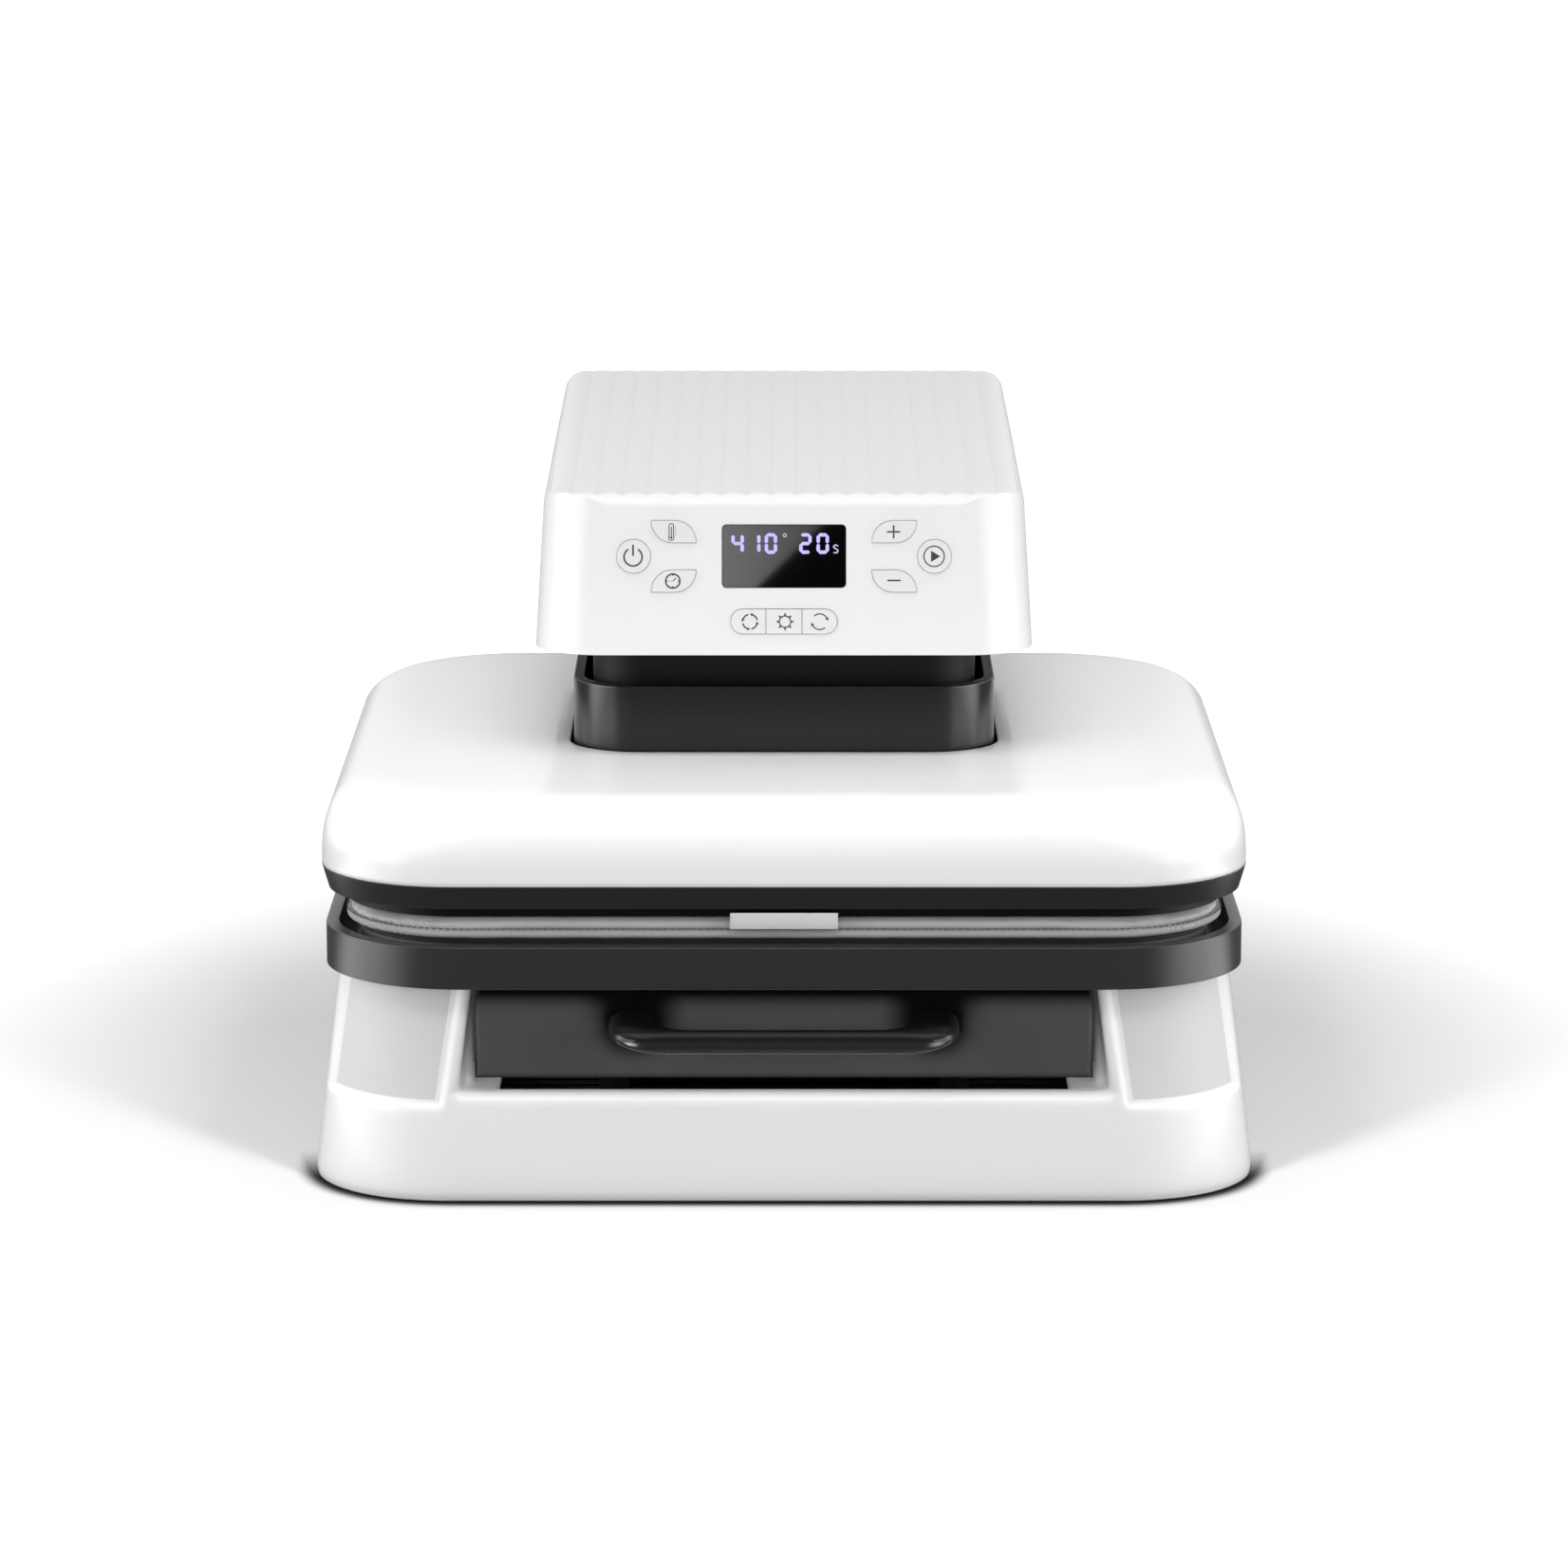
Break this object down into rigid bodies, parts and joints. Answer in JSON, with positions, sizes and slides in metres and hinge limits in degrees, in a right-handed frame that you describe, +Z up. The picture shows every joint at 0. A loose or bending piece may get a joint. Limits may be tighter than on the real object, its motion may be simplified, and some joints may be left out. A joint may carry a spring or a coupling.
{
  "type": "automatic heat press",
  "caption": "Motor-driven C-frame heat press with a lifting hot plate, telescoping collar, control head and pull-out padded drawer.",
  "frame": {"origin": "on the surface it stands on, below the middle of the whole object", "axes": "+Z up, +Y towards the back, -Y the front with the handle and the keys, +X to the right seen from the front"},
  "size_m": [0.449, 0.5278, 0.3317],
  "materials": {
    "white_shell": "glossy moulded ABS",
    "black_plastic": "satin moulded plastic",
    "plate_black": "matt heat-resistant moulding",
    "tray_black": "satin moulded plastic",
    "handle_black": "semi-gloss moulded plastic",
    "black_steel": "black powder coat",
    "rubber": "moulded rubber",
    "zinc_screw": "zinc plated",
    "rail_steel": "zinc plated",
    "ground_steel": "ground",
    "bronze": "turned",
    "cast_housing": "die cast",
    "display_glass": "smoked gloss lens",
    "module_black": "matt",
    "circuit_board": "solder mask",
    "switch_black": "matt",
    "key_white": "satin gloss moulded keys",
    "cast_plate": "dark non-stick coat",
    "heater_tube": "heat-tinted",
    "fibre_board": "ceramic fibre board",
    "silicone": "silicone foam",
    "mat_fabric": "woven grey cloth",
    "tab_fabric": "woven white ribbon"
  },
  "bodies": {
    "frame": {"base_shell": "white_shell", "base_pan": "black_steel", "rubber_feet": "rubber", "base_screws": "zinc_screw", "rear_screws": "zinc_screw", "c_frame": "black_steel", "column_cover": "white_shell", "rear_cover": "white_shell", "head_shell": "white_shell", "head_underside": "black_plastic", "neck": "black_plastic", "display_window": "display_glass", "display_module": "module_black", "control_board": "circuit_board", "tact_switches": "switch_black", "drive_motor": "cast_housing", "gearbox_housing": "cast_housing", "thrust_bearing": "ground_steel", "guide_bushes": "bronze", "outer_rails": "rail_steel", "power_inlet": "black_plastic", "switch_bezel": "black_plastic", "fuse_holder": "black_plastic", "power_board": "circuit_board"},
    "upper_platen": {"guide_rods": "ground_steel", "lead_nut": "bronze", "press_carrier": "cast_housing", "disc_springs": "ground_steel", "collar": "black_plastic", "platen_cover": "white_shell", "platen_rim": "black_plastic", "plate_surround": "plate_black", "heating_plate": "cast_plate", "heating_element": "heater_tube", "insulation_board": "fibre_board", "thermal_cutout": "module_black"},
    "screw": {"lead_screw": "ground_steel", "worm_wheel": "bronze"},
    "worm": {"drive_worm": "ground_steel"},
    "drawer": {"drawer_front": "tray_black", "drawer_handle": "handle_black", "handle_screws": "zinc_screw", "drawer_carriage": "black_steel", "inner_rails": "rail_steel", "drawer_tray": "tray_black", "lower_plate": "cast_housing", "silicone_sheet": "silicone", "heat_mat": "mat_fabric", "mat_tab": "tab_fabric"},
    "rail_slide": {"middle_rails": "rail_steel"},
    "rocker": {"rocker_switch": "black_plastic"},
    "power_button": {"power_button": "key_white"},
    "start_button": {"start_button": "key_white"},
    "temperature_key": {"temperature_key": "key_white"},
    "time_key": {"time_key": "key_white"},
    "plus_key": {"plus_key": "key_white"},
    "minus_key": {"minus_key": "key_white"},
    "repeat_key": {"repeat_key": "key_white"},
    "heat_key": {"heat_key": "key_white"},
    "auto_key": {"auto_key": "key_white"}
  },
  "joints": [
    {"name": "platen_lift", "type": "slide", "parent": "frame", "child": "upper_platen", "axis": [0, 0, 1], "range_m": [0, 0.017]},
    {"name": "screw_spin", "type": "hinge", "parent": "frame", "child": "screw", "pos_m": [0, -0.01208, 0.293], "axis": [0, 0, 1], "range_deg": [-614, 2]},
    {"name": "worm_spin", "type": "hinge", "parent": "frame", "child": "worm", "pos_m": [0.0265, -0.01208, 0.277], "axis": [0, 1, 0], "range_deg": [-20, 6140]},
    {"name": "drawer_slide", "type": "slide", "parent": "frame", "child": "drawer", "axis": [0, -1, 0], "range_m": [0, 0.25]},
    {"name": "rail_travel", "type": "slide", "parent": "frame", "child": "rail_slide", "axis": [0, -1, 0], "range_m": [0, 0.125]},
    {"name": "rocker_tilt", "type": "hinge", "parent": "frame", "child": "rocker", "pos_m": [0.01, 0.25192, 0.138], "axis": [1, 0, 0], "range_deg": [-12, 0]},
    {"name": "power_button_press", "type": "slide", "parent": "frame", "child": "power_button", "axis": [0, 0.9946, -0.1033], "range_m": [0, 0.001], "stiffness_N_per_m": 500, "springref_m": -0.001},
    {"name": "start_button_press", "type": "slide", "parent": "frame", "child": "start_button", "axis": [0, 0.9946, -0.1033], "range_m": [0, 0.001], "stiffness_N_per_m": 500, "springref_m": -0.001},
    {"name": "temperature_key_press", "type": "slide", "parent": "frame", "child": "temperature_key", "axis": [0, 0.9946, -0.1033], "range_m": [0, 0.001], "stiffness_N_per_m": 500, "springref_m": -0.001},
    {"name": "time_key_press", "type": "slide", "parent": "frame", "child": "time_key", "axis": [0, 0.9946, -0.1033], "range_m": [0, 0.001], "stiffness_N_per_m": 500, "springref_m": -0.001},
    {"name": "plus_key_press", "type": "slide", "parent": "frame", "child": "plus_key", "axis": [0, 0.9946, -0.1033], "range_m": [0, 0.001], "stiffness_N_per_m": 500, "springref_m": -0.001},
    {"name": "minus_key_press", "type": "slide", "parent": "frame", "child": "minus_key", "axis": [0, 0.9946, -0.1033], "range_m": [0, 0.001], "stiffness_N_per_m": 500, "springref_m": -0.001},
    {"name": "repeat_key_press", "type": "slide", "parent": "frame", "child": "repeat_key", "axis": [0, 0.9946, -0.1033], "range_m": [0, 0.001], "stiffness_N_per_m": 500, "springref_m": -0.001},
    {"name": "heat_key_press", "type": "slide", "parent": "frame", "child": "heat_key", "axis": [0, 0.9946, -0.1033], "range_m": [0, 0.001], "stiffness_N_per_m": 500, "springref_m": -0.001},
    {"name": "auto_key_press", "type": "slide", "parent": "frame", "child": "auto_key", "axis": [0, 0.9946, -0.1033], "range_m": [0, 0.001], "stiffness_N_per_m": 500, "springref_m": -0.001}
  ],
  "couplings": [
    {"joint": "screw_spin", "follows": "platen_lift", "rad_per_m": -628.32},
    {"joint": "worm_spin", "follows": "platen_lift", "rad_per_m": 6283.2},
    {"joint": "rail_travel", "follows": "drawer_slide", "ratio": 0.5}
  ]
}
